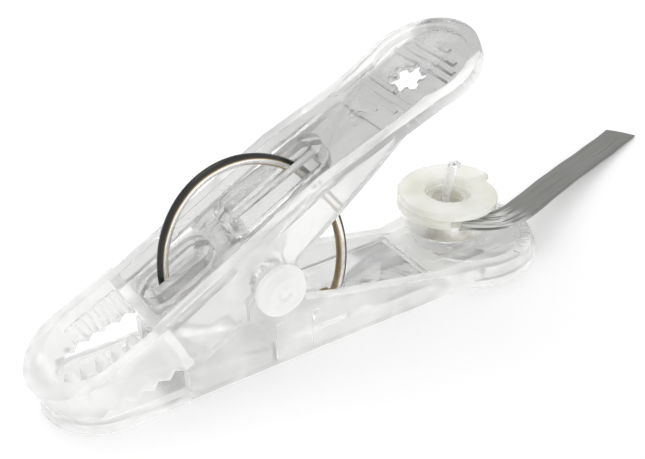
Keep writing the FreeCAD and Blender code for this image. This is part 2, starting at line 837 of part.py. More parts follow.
def strap_button():
    """The milky button: a flat band wound round the post in a low coil that holds the strap down."""
    inner, outer = size.coil_bore.value, size.coil_radius.value
    half, bevel = size.coil_thickness.value / 2, size.coil_bevel.value
    middle = (inner + outer) / 2
    rise = size.coil_pitch.value * size.coil_turn.value / 360
    helix = Part.makeHelix(size.coil_pitch.value, rise, middle)
    section = [
        (inner, -half),
        (outer - bevel, -half),
        (outer, bevel - half),
        (outer, half - bevel),
        (outer - bevel, half),
        (inner + bevel, half),
        (inner, half - bevel),
    ]
    spots = [Vector(radius, 0, height) for radius, height in section]
    wire = Part.makePolygon([*spots, spots[0]])
    solid = Part.Wire(helix).makePipeShell([wire], True, True)
    item = doc.addObject("Part::Feature", "strap_button")
    item.Shape = solid.mirror(Vector(0, 0, 0), Vector(0, 1, 0))
    low_side = math.radians(size.coil_low_side.value)
    hinge = Vector(-math.sin(low_side), math.cos(low_side), 0)
    tilted = Rotation(hinge, size.coil_tilt.value)
    item.Placement.Rotation = tilted * Rotation(Vector(0, 0, 1), size.coil_from.value)
    drop = size.coil_radius * tangent(size.coil_tilt)
    start = sleeve_top() - drop + size.coil_room + size.coil_thickness / 2
    move(item, size.button_length, size.button_side, start)
    return finish(item, "strap_button")


def button_hub():
    """The milky ring inside the coil, round the post."""
    low = sleeve_top() + size.strap_gap
    high = low + size.hub_height
    bevel = size.hub_bevel
    points = [
        (size.hub_bore, low),
        (size.hub_radius, low),
        (size.hub_radius, high - bevel),
        (size.hub_radius - bevel, high),
        (size.hub_bore + bevel, high),
        (size.hub_bore, high - bevel),
    ]
    body = move(turned("hub", points), size.button_length, size.button_side)
    return finish(body, "button_hub")


# ---------------------------------------------------------------- spring


def on_oval(angle):
    """A point of the spring's middle line and its direction there, in the object's frame."""
    tilt = math.radians(size.lever_tilt.value)
    along = size.spring_shift.value + size.spring_along.value * math.cos(angle)
    across = -size.spring_drop.value + size.spring_across.value * math.sin(angle)
    run = size.spring_along.value * math.sin(angle)
    rise = -size.spring_across.value * math.cos(angle)
    spot = Vector(
        along * math.cos(tilt) - across * math.sin(tilt),
        0,
        size.pivot_height.value + along * math.sin(tilt) + across * math.cos(tilt),
    )
    way = Vector(
        run * math.cos(tilt) - rise * math.sin(tilt),
        0,
        run * math.sin(tilt) + rise * math.cos(tilt),
    )
    return spot, way.normalize()


def lower_end():
    """The angle on the oval where the bend starts, so that the hook lies at seat_height."""
    high, low = 0.0, -math.pi / 2
    for _ in range(60):
        angle = (high + low) / 2
        spot, way = on_oval(angle)
        if spot.z + way.z * size.hook_radius.value > size.seat_height.value:
            high = angle
        else:
            low = angle
    return (high + low) / 2


def spring_hook():
    """The X and Z of the hook's middle line, which runs along Y."""
    spot, way = on_oval(lower_end())
    hook = spot + way * size.hook_radius.value
    return hook.x, hook.z


def ring_spring():
    """The oval ring of wire, from the front seat over the top to the hook under the floor."""
    tilt = math.radians(size.lever_tilt.value)
    end = lower_end()
    depth = size.seat_floor.value + size.seat_room.value + size.spring_drop.value
    start = math.pi - math.asin(depth / size.spring_across.value)
    centre = Vector(
        size.spring_shift.value * math.cos(tilt) + size.spring_drop.value * math.sin(tilt),
        0,
        size.pivot_height.value
        + size.spring_shift.value * math.sin(tilt)
        - size.spring_drop.value * math.cos(tilt),
    )
    tall = Vector(-math.sin(tilt), 0, math.cos(tilt)) * size.spring_across.value
    long = Vector(math.cos(tilt), 0, math.sin(tilt)) * size.spring_along.value
    oval = Part.Ellipse(centre + tall, centre + long, centre)
    first, _ = on_oval(end)
    last, _ = on_oval(start)
    span = sorted((oval.parameter(first), oval.parameter(last)))
    over_top = oval.parameter(centre + tall)
    if not span[0] < over_top < span[1]:
        span = [span[1], span[0] + 2 * math.pi]
    arch = Part.ArcOfEllipse(oval, span[0], span[1]).toShape()
    spot, way = on_oval(end)
    side = Vector(0, 1, 0)
    radius = size.hook_radius.value
    bend_end = spot + (way + side) * radius
    middle = spot + side * radius + (way - side) * radius * math.sqrt(0.5)
    bend = Part.Arc(spot, middle, bend_end).toShape()
    pin = Part.LineSegment(bend_end, bend_end + side * size.hook_length.value).toShape()
    path = Part.Wire(Part.__sortEdges__([arch, bend, pin]))
    tip = bend_end + side * size.hook_length.value
    section = Part.Wire(Part.makeCircle(size.wire_radius.value, tip, side))
    item = doc.addObject("Part::Feature", "ring_spring")
    item.Shape = path.makePipeShell([section], True, False)
    return finish(item, "ring_spring")


# ---------------------------------------------------------------- post and strap


def rounded_path(points):
    """Straight runs joined by tangent arcs, each as large as its two runs allow."""
    edges, start, radii = [], points[0], []
    for before, corner, after in zip(points, points[1:], points[2:]):
        arriving, leaving = corner - before, after - corner
        shorter = min(arriving.Length, leaving.Length)
        turn = arriving.getAngle(leaving)
        trim = BEND_SHARE * shorter
        radii.append(trim / math.tan(turn / 2))
        enter = corner - arriving.normalize() * trim
        leave = corner + leaving.normalize() * trim
        inward = (enter + leave) * 0.5 - corner
        sagitta = radii[-1] / math.cos(turn / 2) - radii[-1]
        middle = corner + inward.normalize() * sagitta
        edges.append(Part.LineSegment(start, enter).toShape())
        edges.append(Part.Arc(enter, middle, leave).toShape())
        start = leave
    edges.append(Part.LineSegment(start, points[-1]).toShape())
    return Part.Wire(edges), radii


def button_post():
    """The clear post: straight through the sleeve, leaning above it, pinched at the top."""
    x, y = size.button_length.value, size.button_side.value
    back, near = size.post_back.value, size.post_near.value
    top = sleeve_top().value
    above = top + size.strap_gap.value
    points = [
        Vector(x, y, size.rear_height.value - size.post_depth.value),
        Vector(x, y, top),
        Vector(x - back, y - near, above + size.post_bend.value),
        Vector(x - back * 0.8, y - near * 1.1, above + size.post_turn.value),
        Vector(x + size.post_tip.value, y - near / 2, size.post_top.value),
    ]
    path, _ = rounded_path(points)
    section = Part.Wire(Part.makeCircle(size.post_radius.value, points[0], Vector(0, 0, 1)))
    stem = path.makePipeShell([section], True, False)
    half, side, tall = size.tip_half.value, size.tip_side.value, size.tip_height.value
    head = Part.makeBox(half * 2, side * 2, tall, points[-1] - Vector(half, side, tall))
    head = head.makeChamfer(size.tip_bevel.value, head.Edges)
    item = doc.addObject("Part::Feature", "button_post")
    item.Shape = stem.fuse(head)
    return finish(item, "button_post")


def strap():
    """The flat strap, a ribbon that keeps its width level."""
    path, radii = rounded_path(STRAP_ROUTE)
    print("strap radii", [round(radius, 1) for radius in radii])
    start = STRAP_ROUTE[0]
    heading = (STRAP_ROUTE[1] - start).normalize()
    across = heading.cross(Vector(0, 0, 1)).normalize() * (size.strap_width.value / 2)
    up = Vector(0, 0, size.strap_thickness.value / 2)
    corners = [start + across + up, start - across + up, start - across - up, start + across - up]
    ribbon = Part.BRepOffsetAPI.MakePipeShell(path)
    ribbon.setBiNormalMode(Vector(0, 0, 1))
    ribbon.setTransitionMode(1)
    ribbon.add(Part.makePolygon([*corners, corners[0]]))
    ribbon.build()
    ribbon.makeSolid()
    item = doc.addObject("Part::Feature", "strap")
    item.Shape = ribbon.shape()
    expected = path.Length * size.strap_width.value * size.strap_thickness.value
    print("strap length", round(path.Length, 1), "volume", round(item.Shape.Volume, 1), round(expected, 1))
    return finish(item, "strap")


# ---------------------------------------------------------------- build and write


def check():
    """Stop on any failed object or bad shape."""
    for item in doc.Objects:
        if "Invalid" in item.State or "Error" in item.State:
            raise RuntimeError(f"{item.Name} failed: {item.State}")
    for item in SUB_PARTS:
        shape = item.Shape
        if shape.isNull() or not shape.isValid() or not shape.Solids:
            raise RuntimeError(f"{item.Label} has no valid solid")
        middle = shape.BoundBox
        print(
            f"{item.Label:14s} solids {len(shape.Solids)} volume {shape.Volume:8.1f}"
            f"  x {middle.XMin:6.1f} {middle.XMax:6.1f}  y {middle.YMin:6.1f} {middle.YMax:6.1f}"
            f"  z {middle.ZMin:6.2f} {middle.ZMax:6.2f}"
        )


def main():
    lower_lever()
    upper_lever()
    pivot_roller()
    ring_spring()
    strap_sleeve()
    strap_button()
    button_hub()
    button_post()
    strap()
    doc.recompute()
    check()
    os.makedirs("parts", exist_ok=True)
    for item in SUB_PARTS:
        item.Shape.exportStep(f"parts/{item.Label}.step")


main()
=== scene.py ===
import logging
import math
from dataclasses import dataclass, field
from enum import Enum
from typing import Any, Iterable, Sequence

import bmesh
import bpy
from mathutils import Matrix, Vector


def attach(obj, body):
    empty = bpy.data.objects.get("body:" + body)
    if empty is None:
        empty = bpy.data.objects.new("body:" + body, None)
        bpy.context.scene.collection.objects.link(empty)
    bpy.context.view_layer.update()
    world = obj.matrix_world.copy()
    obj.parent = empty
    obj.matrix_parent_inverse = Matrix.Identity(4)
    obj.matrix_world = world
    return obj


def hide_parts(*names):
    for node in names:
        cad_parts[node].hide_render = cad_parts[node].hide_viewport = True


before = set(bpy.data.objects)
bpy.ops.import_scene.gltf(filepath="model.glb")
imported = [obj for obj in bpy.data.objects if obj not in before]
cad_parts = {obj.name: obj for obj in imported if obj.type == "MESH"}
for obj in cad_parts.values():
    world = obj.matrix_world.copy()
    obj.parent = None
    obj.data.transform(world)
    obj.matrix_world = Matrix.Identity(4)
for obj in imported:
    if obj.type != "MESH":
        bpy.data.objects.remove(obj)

LOG = logging.getLogger("clothespin")
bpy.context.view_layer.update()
MM = 0.001
UP = Vector((0, 0, 1))
PLASTIC_IOR = 1.49
STRAP_MAP = "along"

# A Mix node's two colour inputs and its colour output, by number.
MIX_COLOURS = (6, 7)
MIX_RESULT = 2


# ---------------------------------------------------------------- shader maths


class Amount:
    """A number that varies over a surface, as a shader socket that Python can calculate with."""

    def __init__(self, recipe: "Recipe", socket: bpy.types.NodeSocket) -> None:
        """Keep the socket and the recipe that its Math nodes go into."""
        self.recipe = recipe
        self.socket = socket

    def _math(self, operation: str, *inputs: Any) -> "Amount":
        """Add one Math node, whose inputs are numbers or amounts."""
        return self.recipe.add("ShaderNodeMath", {"operation": operation}, dict(enumerate(inputs)))

    def __add__(self, other: Any) -> "Amount":
        """Sum."""
        return self._math("ADD", self, other)

    def __radd__(self, other: Any) -> "Amount":
        """Sum, with the number first."""
        return self._math("ADD", other, self)

    def __sub__(self, other: Any) -> "Amount":
        """Difference."""
        return self._math("SUBTRACT", self, other)

    def __rsub__(self, other: Any) -> "Amount":
        """Difference, with the number first."""
        return self._math("SUBTRACT", other, self)

    def __mul__(self, other: Any) -> "Amount":
        """Product."""
        return self._math("MULTIPLY", self, other)

    def __rmul__(self, other: Any) -> "Amount":
        """Product, with the number first."""
        return self._math("MULTIPLY", other, self)

    def __truediv__(self, other: Any) -> "Amount":
        """Quotient."""
        return self._math("DIVIDE", self, other)

    def __rtruediv__(self, other: Any) -> "Amount":
        """Quotient, with the number first."""
        return self._math("DIVIDE", other, self)

    def __pow__(self, other: Any) -> "Amount":
        """Power."""
        return self._math("POWER", self, other)

    def __abs__(self) -> "Amount":
        """Size without sign."""
        return self._math("ABSOLUTE", self)

    def __gt__(self, other: Any) -> "Amount":
        """1 where this is more than the other, and 0 elsewhere."""
        return self._math("GREATER_THAN", self, other)

    def __lt__(self, other: Any) -> "Amount":
        """1 where this is less than the other, and 0 elsewhere."""
        return self._math("LESS_THAN", self, other)

    def larger(self, other: Any) -> "Amount":
        """The larger of two amounts."""
        return self._math("MAXIMUM", self, other)

    def between(self, low: float, high: float) -> "Amount":
        """0 below low, 1 above high, and a smooth rise from one to the other."""
        settings = {"interpolation_type": "SMOOTHSTEP"}
        return self.recipe.add("ShaderNodeMapRange", settings, {"Value": self, 1: low, 2: high})


class Recipe:
    """The node tree of one material."""

    def __init__(self, name: str) -> None:
        """Start a material that has only its output node.

        Args:
            name: the material's name.
        """
        self.material = bpy.data.materials.new(name)
        self.material.use_nodes = True
        self.tree = self.material.node_tree
        self.tree.nodes.clear()
        self.output = self.tree.nodes.new("ShaderNodeOutputMaterial")

    def node(self, kind: str, settings: dict[str, Any], inputs: dict[Any, Any]) -> bpy.types.Node:
        """Add one node.

        Args:
            kind: the node's type.
            settings: its properties, or a list of stops under "stops" for a colour ramp.
            inputs: its inputs by name or number, as values, sockets or amounts.

        Returns:
            The node.
        """
        made = self.tree.nodes.new(kind)
        for key, value in settings.items():
            if key == "stops":
                self._stops(made.color_ramp, value)
            else:
                setattr(made, key, value)
        for key, value in inputs.items():
            if isinstance(value, Amount):
                value = value.socket
            if isinstance(value, bpy.types.NodeSocket):
                self.tree.links.new(value, made.inputs[key])
            else:
                made.inputs[key].default_value = value
        return made

    @staticmethod
    def _stops(ramp: bpy.types.ColorRamp, stops: Sequence[tuple[float, "Tint"]]) -> None:
        """Give a colour ramp its stops.

        Args:
            ramp: the ramp.
            stops: the place and the colour of each stop.
        """
        while len(ramp.elements) < len(stops):
            ramp.elements.new(1.0)
        for element, (place, tint) in zip(ramp.elements, stops):
            element.position = place
            element.color = tint.rgba()

    def add(self, kind: str, settings: dict[str, Any], inputs: dict[Any, Any], out: Any = 0) -> Amount:
        """Add one node, as with node, and take one of its outputs by name or number."""
        return Amount(self, self.node(kind, settings, inputs).outputs[out])

    def place(self) -> Amount:
        """The point on the surface, in the frame of the object."""
        return self.add("ShaderNodeTexCoord", {}, {}, "Object")

    def axes(self, place: Amount | None = None) -> tuple[Amount, Amount, Amount]:
        """The coordinates of a place, or of the point on the surface in metres."""
        split = self.node("ShaderNodeSeparateXYZ", {}, {0: place or self.place()})
        return tuple(Amount(self, socket) for socket in split.outputs)

    def noise(
        self,
        scale: float,
        detail: float = 3.0,
        stretch: Sequence[float] = (1, 1, 1),
        place: Amount | None = None,
        distortion: float = 0.0,
    ) -> Amount:
        """Cloudy noise.

        Args:
            scale: the number of features to the metre, or to the unit of place.
            detail: how many finer layers it has.
            stretch: what each coordinate is multiplied by first.
            place: where it is looked up, or None for the point on the surface.
            distortion: how far it is swirled.

        Returns:
            The noise, around a half.
        """
        spot = place or self.place()
        moved = self.node("ShaderNodeMapping", {}, {"Vector": spot, "Scale": tuple(stretch)})
        inputs = {"Vector": moved.outputs[0], "Scale": scale, "Detail": detail, "Distortion": distortion}
        return self.add("ShaderNodeTexNoise", {}, inputs, "Fac")

    def blend(self, share: Any, first: Any, second: Any) -> bpy.types.NodeSocket:
        """Mix two colours.

        Args:
            share: the share of the second colour.
            first: a tint or a socket.
            second: a tint or a socket.

        Returns:
            The mixed colour.
        """
        first, second = (tint.rgba() if isinstance(tint, Tint) else tint for tint in (first, second))
        made = self.node("ShaderNodeMix", {"data_type": "RGBA"}, {"Factor": share})
        for index, value in zip(MIX_COLOURS, (first, second)):
            if isinstance(value, bpy.types.NodeSocket):
                self.tree.links.new(value, made.inputs[index])
            else:
                made.inputs[index].default_value = value
        return made.outputs[MIX_RESULT]

    def ripple(self, height: Amount, depth: float, strength: float) -> bpy.types.NodeSocket:
        """A bump whose full height is depth, in metres."""
        inputs = {"Strength": strength, "Distance": depth, "Height": height}
        return self.node("ShaderNodeBump", {}, inputs).outputs[0]

    def shader(self, **inputs: Any) -> bpy.types.NodeSocket:
        """Add one Principled shader, with _ for each space in the names of its inputs."""
        named = {key.replace("_", " "): value for key, value in inputs.items()}
        return self.node("ShaderNodeBsdfPrincipled", {}, named).outputs[0]

    def surface(self, **inputs: Any) -> bpy.types.Material:
        """Finish the material with one Principled shader, whose inputs are given as for shader."""
        self.tree.links.new(self.shader(**inputs), self.output.inputs[0])
        return self.material

    def mixed(
        self, share: Amount, first: bpy.types.NodeSocket, second: bpy.types.NodeSocket
    ) -> bpy.types.Material:
        """Finish the material with two shaders.

        Args:
            share: the share of the second shader.
            first: the first shader.
            second: the second shader.

        Returns:
            The material.
        """
        made = self.node("ShaderNodeMixShader", {}, {0: share, 1: first, 2: second})
        self.tree.links.new(made.outputs[0], self.output.inputs[0])
        return self.material


@dataclass(frozen=True)
class Tint:
    """A colour in linear light."""

    red: float
    green: float
    blue: float

    def rgba(self) -> tuple[float, float, float, float]:
        """The colour as a shader wants it."""
        return (self.red, self.green, self.blue, 1.0)


# ---------------------------------------------------------------- finishes


@dataclass(frozen=True)
class ClearPlastic:
    """Clear moulded plastic: painted grey where it is looked through, painted white where its walls gather
    light.

    The side walls lie beyond wall_sides, the jaw before jaw_end, the tail pad beyond tail_start and below
    tail_top, and the grip beyond grip_start and above grip_low, all on the object's own axes.
    """

    name: str = "clear plastic"
    # Painted light and shade: the first three tints are painted see-through greys of the web, grip and tail
    # pad, and wall is a painted white highlight.
    web_painted_light: Tint = Tint(0.76, 0.76, 0.755)
    grip: Tint = Tint(0.46, 0.46, 0.455)
    tail: Tint = Tint(0.90, 0.90, 0.89)
    wall: Tint = Tint(0.98, 0.98, 0.975)
    milk: Tint = Tint(0.98, 0.98, 0.975)
    # Shares of the milky shader, whose emission is a painted glow.
    haze_and_glow: float = 0.08
    wall_glow: float = 0.36
    streak_glow: float = 0.12
    jaw_share: float = 0.7
    pattern_scale: float = 240.0
    wall_sides: tuple[float, float] = (6.0 * MM, 6.6 * MM)
    jaw_end: float = -16.5 * MM
    tail_start: float = 28.5 * MM
    tail_top: float = 6.0 * MM
    grip_start: float = 8.0 * MM
    grip_low: float = 15.0 * MM
    seep: float = 3.0 * MM
    # The strength of the painted glow.
    glow: float = 0.28

    def zones(self, recipe: Recipe) -> tuple[Amount, Amount, Amount, Amount]:
        """Find the regions of the mouldings that get different painted light and shade.

        Args:
            recipe: the recipe of the material.

        Returns:
            The side walls, the jaw, the tail pad and the grip, each 1 inside and 0 outside.
        """
        x, y, z = recipe.axes()
        walls = abs(y).between(*self.wall_sides)
        jaw = (self.jaw_end - x).between(-1.0 * MM, 2.0 * MM)
        tail = (x - self.tail_start).between(-1.0 * MM, 1.0 * MM) * (z < self.tail_top)
        grip = (x - self.grip_start).between(-3.0 * MM, 3.0 * MM) * (z > self.grip_low)
        return walls, jaw, tail, grip

    def material(self) -> bpy.types.Material:
        """Make painted light streaks, painted white walls and milky jaw, a paler painted tail pad and darker
        painted grip.

        Returns:
            The material.
        """
        recipe = Recipe(self.name)
        walls, jaw, tail, grip = self.zones(recipe)
        # Painted light streaks, and clouds that vary the painted white of the walls.
        light_streaks = recipe.noise(self.pattern_scale, 4.0, (0.35, 1.0, 1.0)).between(0.52, 0.70)
        clouds = recipe.noise(self.pattern_scale * 0.4, 2.0).between(0.40, 0.66)
        # The share of the painted white highlight: on the side walls, and on the jaw.
        pale = (walls * (0.6 + 0.4 * clouds)).larger(jaw * self.jaw_share)
        # The painted see-through greys: the web, a darker grip and a paler tail pad.
        flat = recipe.blend(tail, recipe.blend(grip, self.web_painted_light, self.grip), self.tail)
        ripple = recipe.ripple(recipe.noise(self.pattern_scale * 1.2, 3.0), 0.2 * MM, 0.2)
        clear = recipe.shader(
            Base_Color=recipe.blend(pale, flat, self.wall),
            Roughness=0.02 + 0.06 * clouds,
            IOR=PLASTIC_IOR,
            Transmission_Weight=1.0,
            Normal=ripple,
        )
        # A milky shader whose emission is a painted glow.
        milky = recipe.shader(
            Base_Color=self.milk.rgba(),
            Roughness=0.12 + 0.1 * clouds,
            IOR=PLASTIC_IOR,
            Subsurface_Weight=0.3,
            Subsurface_Radius=(self.seep,) * 3,
            Emission_Color=self.milk.rgba(),
            Emission_Strength=self.glow,
            Normal=ripple,
        )
        # How much painted glow shows: a base share, more on the walls and on the light streaks.
        share = self.haze_and_glow + (self.wall_glow * pale).larger(self.streak_glow * light_streaks)
        return recipe.mixed(share, clear, milky)


@dataclass(frozen=True)
class MilkyPlastic:
    """Milky plastic that lets some light through, with a soft painted glow."""

    name: str
    tint: Tint
    shade: Tint
    clearness: float = 0.35
    # The strength of the painted glow.
    glow: float = 0.14
    roughness: float = 0.16
    cloud: float = 190.0
    grain: float = 2600.0
    seep: float = 2.0 * MM

    def material(self) -> bpy.types.Material:
        """Make very soft clouding, with a fine moulding texture, and the painted glow.

        Returns:
            The material.
        """
        recipe = Recipe(self.name)
        clouds = recipe.noise(self.cloud, 1.5).between(0.3, 0.75)
        grain = recipe.noise(self.grain, 2.0)
        colour = recipe.blend(clouds, self.tint, self.shade)
        return recipe.surface(
            Base_Color=colour,
            Roughness=self.roughness + 0.1 * grain,
            IOR=PLASTIC_IOR,
            Transmission_Weight=self.clearness,
            Subsurface_Weight=0.3,
            Subsurface_Radius=(self.seep,) * 3,
            # Emission: a painted glow in the plastic's own colour.
            Emission_Color=colour,
            Emission_Strength=self.glow,
            Coat_Weight=0.3,
            Coat_Roughness=0.08,
            Normal=recipe.ripple(grain, 0.04 * MM, 0.25),
        )


@dataclass(frozen=True)
class BrightMetal:
    """Satin metal with faint drawing lines along its height."""

    name: str
    bright: Tint
    dark: Tint
    roughness: float = 0.12
    cloud: float = 300.0
    drawn: float = 2400.0

    def material(self) -> bpy.types.Material:
        """Make fine lines and slight clouding.

        Returns:
            The material.
        """
        recipe = Recipe(self.name)
        clouds = recipe.noise(self.cloud, 3.0).between(0.35, 0.65)
        lines = recipe.noise(self.drawn, 2.0, (1.0, 1.0, 0.15))
        return recipe.surface(
            Base_Color=recipe.blend(clouds, self.bright, self.dark),
            Metallic=1.0,
            Roughness=self.roughness + 0.1 * lines,
            Normal=recipe.ripple(lines, 0.03 * MM, 0.4),
        )


@dataclass(frozen=True)
class SpringWire:
    """Polished spring wire with painted reflections: dark outside, a gold-brown line beside the bright band.

    The oval's middle is at centre, its half-axes are along and across, and tilt is in degrees. The stops
    run from the inner side of the wire to the outer side.
    """

    name: str = "spring wire"
    centre: tuple[float, float] = (1.32 * MM, 12.27 * MM)
    along: float = 13.5 * MM
    across: float = 18.0 * MM
    tilt: float = 25.0
    sides: tuple[float, float] = (0.945, 1.055)
    wobble: float = 0.12
    # Painted reflection colours across the wire: brown, gold, white highlight, gold, then dark.
    stops: tuple[tuple[float, Tint], ...] = (
        (0.0, Tint(0.30, 0.22, 0.13)),
        (0.14, Tint(0.55, 0.44, 0.28)),
        (0.24, Tint(0.97, 0.96, 0.94)),
        (0.62, Tint(0.98, 0.97, 0.96)),
        (0.72, Tint(0.50, 0.38, 0.20)),
        (0.80, Tint(0.07, 0.065, 0.06)),
        (1.0, Tint(0.04, 0.04, 0.04)),
    )

    def material(self) -> bpy.types.Material:
        """Make painted reflection bands that follow the wire round its oval.

        Returns:
            The material.
        """
        recipe = Recipe(self.name)
        x, _, z = recipe.axes()
        turn = math.radians(self.tilt)
        run, rise = x - self.centre[0], z - self.centre[1]
        along = (run * math.cos(turn) + rise * math.sin(turn)) / self.along
        across = (rise * math.cos(turn) - run * math.sin(turn)) / self.across
        reach = (along * along + across * across) ** 0.5
        # A painted reflection band across the wire's width, by its distance from the oval's middle.
        band = reach.between(*self.sides) + (recipe.noise(260.0, 2.0) - 0.5) * self.wobble
        ramp = recipe.node("ShaderNodeValToRGB", {"stops": self.stops}, {0: band})
        return recipe.surface(
            Base_Color=ramp.outputs[0],
            Metallic=1.0,
            Roughness=0.1 + 0.08 * recipe.noise(900.0, 2.0),
        )


@dataclass(frozen=True)
class StrapBand:
    """A flat grey strap of drawn film: satin, with lines along it and creases with a painted highlight at
    its start.

    Lines and folds are numbers of features to the strap's length and to its width. The creases fade out
    over creased, as shares of the length, and the pale edge starts at edges, as shares of the width.
    """

    name: str = "strap band"
    dark: Tint = Tint(0.165, 0.167, 0.155)
    light: Tint = Tint(0.25, 0.252, 0.238)
    # The painted highlight on the creases near the strap's start.
    crease_highlight: Tint = Tint(0.9, 0.9, 0.89)
    lines: tuple[float, float, float] = (3.0, 26.0, 1.0)
    folds: tuple[float, float, float] = (9.0, 9.0, 1.0)
    creased: tuple[float, float] = (0.10, 0.30)
    edges: tuple[float, float] = (0.40, 0.5)
    edge_share: float = 0.35

    def material(self) -> bpy.types.Material:
        """Make lines that follow the strap's own length, from its UV map.

        Returns:
            The material.
        """
        recipe = Recipe(self.name)
        spot = recipe.add("ShaderNodeUVMap", {"uv_map": STRAP_MAP}, {})
        along, across, _ = recipe.axes(spot)
        lines = recipe.noise(1.0, 4.0, self.lines, spot)
        folds = recipe.noise(1.0, 3.0, self.folds, spot, 0.6)
        start = 1 - along.between(*self.creased)
        # The painted highlight on the creases, fading out along the strap.
        pale = start * (folds * 0.5 + lines * 0.5).between(0.44, 0.56)
        edge = abs(across - 0.5).between(*self.edges)
        grey = recipe.blend(lines.between(0.3, 0.7), self.dark, self.light)
        grey = recipe.blend(edge * self.edge_share, grey, self.light)
        return recipe.surface(
            Base_Color=recipe.blend(pale, grey, self.crease_highlight),
            Roughness=0.38 + 0.2 * lines,
            Metallic=0.15,
            Normal=recipe.ripple(lines + folds * start, 0.1 * MM, 0.45),
        )


class Finish(Enum):
    """Every finish of the object."""

    CLEAR = ClearPlastic()
    # The levers' rounded edges: a whiter copy of the clear plastic, a painted edge highlight.
    CLEAR_EDGE = ClearPlastic(name="clear plastic edge highlight", web_painted_light=Tint(0.93, 0.93, 0.93), haze_and_glow=0.5, wall_glow=0.2)
    # The fifth number of each milky finish below is its painted glow.
    ROLLER = MilkyPlastic("milky plastic", Tint(0.96, 0.96, 0.955), Tint(0.88, 0.88, 0.87), 0.4, 0.14)
    BUTTON = MilkyPlastic("button plastic", Tint(0.95, 0.95, 0.92), Tint(0.81, 0.805, 0.73), 0.45, 0.13)
    HUB = MilkyPlastic("hub plastic", Tint(0.92, 0.92, 0.87), Tint(0.78, 0.77, 0.70), 0.4, 0.08)
    POST = MilkyPlastic("post plastic", Tint(0.97, 0.97, 0.97), Tint(0.86, 0.86, 0.86), 0.85, 0.04, 0.04)
    # Spring wire whose colour bands are painted reflections.
    WIRE = SpringWire()
    SLEEVE = BrightMetal("sleeve metal", Tint(0.96, 0.955, 0.94), Tint(0.66, 0.63, 0.56), 0.3)
    STRAP = StrapBand()

    def material(self) -> bpy.types.Material:
        """The finish's material, made once."""
        made = bpy.data.materials.get(self.value.name)
        return made or self.value.material()


# ---------------------------------------------------------------- sub-assemblies


def show(name: str, data: bpy.types.ID) -> bpy.types.Object:
    """Put some data into the scene.

    Args:
        name: the name of the new object.
        data: its mesh, curve, camera or lamp.

    Returns:
        The object, at the origin.
    """
    made = bpy.data.objects.new(name, data)
    bpy.context.scene.collection.objects.link(made)
    return made


@dataclass
class Moulding:
    """A moulded part of the frame, with its corners rounded as a mould leaves them.

    Corners turn by more than sharp, and shading breaks where the surface turns by more than crisp. Faces
    that turn by less than level are one face. All three are in degrees.
    """

    node: str
    body: str
    slot: str
    name: str
    finish: Finish
    edge_finish: Finish
    corner: float = 0.16 * MM
    segments: int = 2
    sharp: float = 28.0
    crisp: float = 35.0
    level: float = 0.6
    merge: float = 0.002 * MM

    def build(self) -> bpy.types.Object:
        """Round the corners of a merged copy.

        Returns:
            The new piece, which stands for the node.
        """
        mesh = bpy.data.meshes.new(self.name)
        work = bmesh.new()
        work.from_mesh(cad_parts[self.node].data)
        bmesh.ops.remove_doubles(work, verts=work.verts, dist=self.merge)
        bmesh.ops.dissolve_limit(
            work,
            angle_limit=math.radians(self.level),
            verts=work.verts,
            edges=work.edges,
            use_dissolve_boundaries=False,
        )
        limit = math.radians(self.sharp)
        corners = [edge for edge in work.edges if edge.is_manifold and edge.calc_face_angle(0.0) > limit]
        # The rounded corners take the second material, the edge finish; on the levers it is a painted edge
        # highlight.
        bmesh.ops.bevel(
            work,
            geom=corners,
            offset=self.corner,
            offset_type="OFFSET",
            segments=self.segments,
            profile=0.5,
            affect="EDGES",
            clamp_overlap=True,
            material=1,
        )
        for face in work.faces:
            face.smooth = True
        work.to_mesh(mesh)
        work.free()
        piece = show(self.name, mesh)
        mesh.materials.append(self.finish.material())
        mesh.materials.append(self.edge_finish.material())
        mesh.set_sharp_from_angle(angle=math.radians(self.crisp))
        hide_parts(self.node)
        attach(piece, self.body)
        LOG.info("%s has %d faces", self.name, len(mesh.polygons))
        return piece


